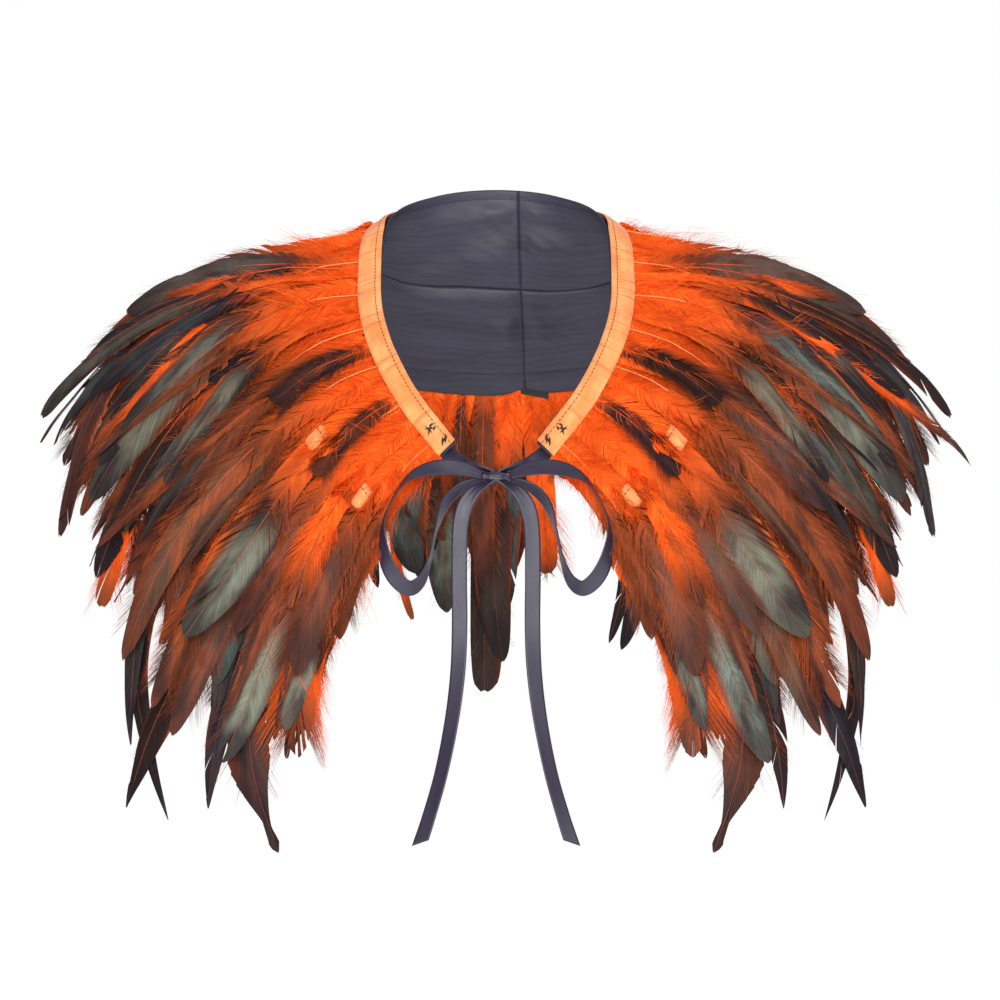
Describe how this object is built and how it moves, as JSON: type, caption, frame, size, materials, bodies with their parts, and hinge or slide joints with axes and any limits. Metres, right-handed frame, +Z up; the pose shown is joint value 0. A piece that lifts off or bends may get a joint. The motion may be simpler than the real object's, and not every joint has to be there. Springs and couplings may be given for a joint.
{
  "type": "feather shawl",
  "caption": "Short shoulder cape of dyed orange and bronze cock feathers in overlapping rows on a satin-lined yoke, open at the front and tied at the throat with a ribbon bow.",
  "frame": {"origin": "where the shawl sits on the wearer: on the neck's axis, level with the shoulder line beside the neck", "axes": "+Z up, +X towards the wearer's left shoulder, which is the right side seen from the front; the wearer faces -Y"},
  "size_m": [0.6125, 0.3555, 0.4311],
  "materials": {
    "lining_satin": "charcoal satin lining with soft creases",
    "cotton_tape": "woven cotton tape, pale orange",
    "dyed_feather": "dyed cock feathers, orange down with bronze-green and black vanes",
    "ribbon_satin": "dark slate satin ribbon"
  },
  "bodies": {
    "root": {"lining_collar_left": "lining_satin", "lining_collar_right": "lining_satin", "lining_yoke_left": "lining_satin", "lining_yoke_right": "lining_satin", "neck_tape": "cotton_tape", "middle_tape": "cotton_tape", "hem_tape": "cotton_tape", "feathers_neck": "dyed_feather", "feathers_middle": "dyed_feather", "feathers_hem": "dyed_feather", "ribbon_knot": "ribbon_satin", "ribbon_tie_left": "ribbon_satin", "ribbon_tie_right": "ribbon_satin", "ribbon_loop_left": "ribbon_satin", "ribbon_loop_right": "ribbon_satin", "ribbon_tail_left": "ribbon_satin", "ribbon_tail_right": "ribbon_satin"}
  },
  "joints": []
}
